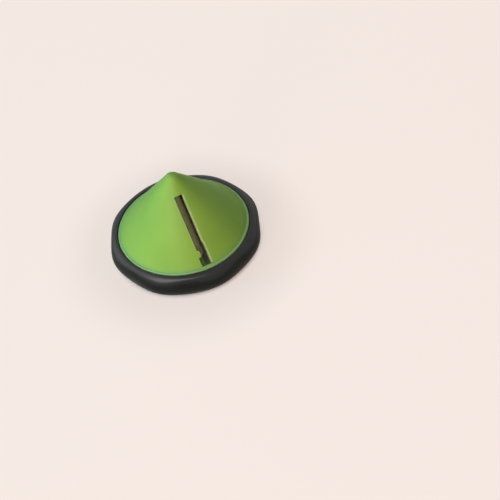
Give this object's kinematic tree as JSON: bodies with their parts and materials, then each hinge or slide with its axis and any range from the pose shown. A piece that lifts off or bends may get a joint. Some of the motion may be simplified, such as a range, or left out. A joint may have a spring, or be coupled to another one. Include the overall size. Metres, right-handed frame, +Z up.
{
  "type": "spiral fruit cutter",
  "caption": "Cone-shaped hand cutter on a soft lobed ring: fruit or root is turned in the hollow cone and a ribbon leaves over the blade in its side.",
  "frame": {"origin": "middle of the foot plane, on the cone's axis", "axes": "+Z up along the cone's axis to its tip; the throat and blade face -Y; +X is the infeed side of the throat"},
  "size_m": [0.0914, 0.0914, 0.0549],
  "materials": {
    "green_plastic": "smooth moulded plastic, satin gloss, yellow-green",
    "black_rubber": "soft matte thermoplastic rubber, charcoal",
    "blade_steel": "rolled stainless strip, one ground edge",
    "clamp_plastic": "moulded plastic, same green, satin",
    "screw_steel": "plain stainless"
  },
  "bodies": {
    "root": {"cone_body": "green_plastic", "grip_ring": "black_rubber", "cutting_blade": "blade_steel", "blade_clamp": "clamp_plastic", "clamp_screw": "screw_steel"}
  },
  "joints": []
}
